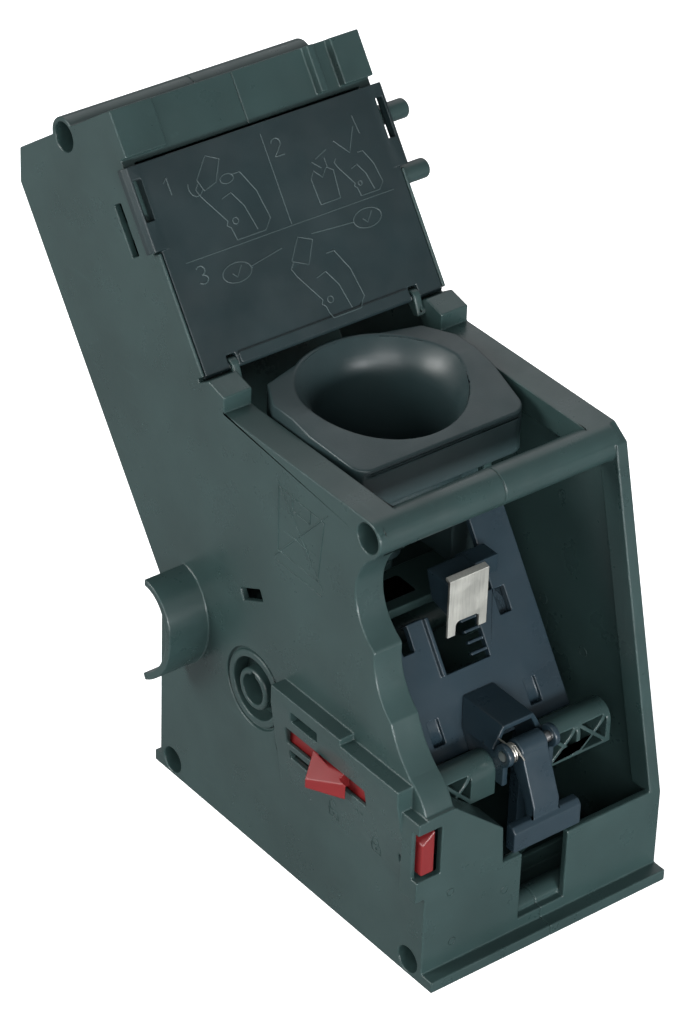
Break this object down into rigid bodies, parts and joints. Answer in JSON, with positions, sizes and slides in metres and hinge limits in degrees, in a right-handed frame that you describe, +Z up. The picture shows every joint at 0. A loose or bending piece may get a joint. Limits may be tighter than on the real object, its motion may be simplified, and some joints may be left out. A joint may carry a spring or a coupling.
{
  "type": "coffee machine brewing unit",
  "caption": "Removable brewing unit: two-part dark housing, hinged leaning cover, swinging brew chamber with pistons, red lock slider, sprung lever and side drive socket.",
  "frame": {"origin": "on the base plane and the mid-plane, straight under the drive axis", "axes": "+Z up, front towards -Y, drive socket on the -X side"},
  "size_m": [0.1095, 0.1963, 0.2053],
  "materials": {
    "dark_plastic": "satin moulded, fine texture",
    "cover_plastic": "satin moulded",
    "chamber_plastic": "smooth satin",
    "blue_plastic": "satin moulded, bluish",
    "red_plastic": "satin",
    "steel": "plain",
    "clip_steel": "rolled sheet",
    "spring_steel": "drawn wire",
    "seal_rubber": "matte"
  },
  "bodies": {
    "housing": {"left_housing": "dark_plastic", "right_housing": "dark_plastic", "base_tray": "dark_plastic", "housing_screws": "steel", "upper_piston": "chamber_plastic", "upper_seal": "seal_rubber", "upper_sieve": "steel", "upper_sieve_screw": "steel", "upper_carrier": "dark_plastic", "water_nozzle": "dark_plastic", "coffee_nozzle": "dark_plastic", "puck_chute": "blue_plastic", "spring_clip": "clip_steel", "hood": "blue_plastic", "left_beam": "blue_plastic", "right_beam": "blue_plastic", "lever_pin": "steel", "lever_spring": "spring_steel"},
    "cover": {"cover": "cover_plastic"},
    "cradle": {"drive_hub": "chamber_plastic", "drive_shaft": "steel", "cradle_left_arm": "blue_plastic", "cradle_right_arm": "blue_plastic", "cradle_bridge": "blue_plastic"},
    "chamber": {"brew_chamber": "chamber_plastic"},
    "piston": {"lower_piston": "chamber_plastic", "lower_seal": "seal_rubber", "lower_sieve": "steel", "lower_sieve_screw": "steel"},
    "lever": {"drain_lever": "blue_plastic"},
    "slider": {"lock_slider": "red_plastic"}
  },
  "joints": [
    {"name": "cover_hinge", "type": "hinge", "parent": "housing", "child": "cover", "pos_m": [0, 0.02737, 0.14258], "axis": [1, 0, 0], "range_deg": [0, 30]},
    {"name": "cradle_swing", "type": "hinge", "parent": "housing", "child": "cradle", "pos_m": [0, 0, 0.0539], "axis": [-1, 0, 0], "range_deg": [0, 35.4]},
    {"name": "chamber_lift", "type": "slide", "parent": "cradle", "child": "chamber", "axis": [0, 0, 1], "range_m": [0, 0.04]},
    {"name": "piston_slide", "type": "slide", "parent": "chamber", "child": "piston", "axis": [0, 0, 1], "range_m": [0, 0.012]},
    {"name": "lever_pivot", "type": "hinge", "parent": "housing", "child": "lever", "pos_m": [0, -0.068, 0.0576], "axis": [1, 0, 0], "range_deg": [0, 15], "stiffness_Nm_per_rad": 0.02, "springref_deg": -17.19},
    {"name": "lock_slide", "type": "slide", "parent": "housing", "child": "slider", "axis": [0, -1, 0], "range_m": [0, 0.007]}
  ]
}
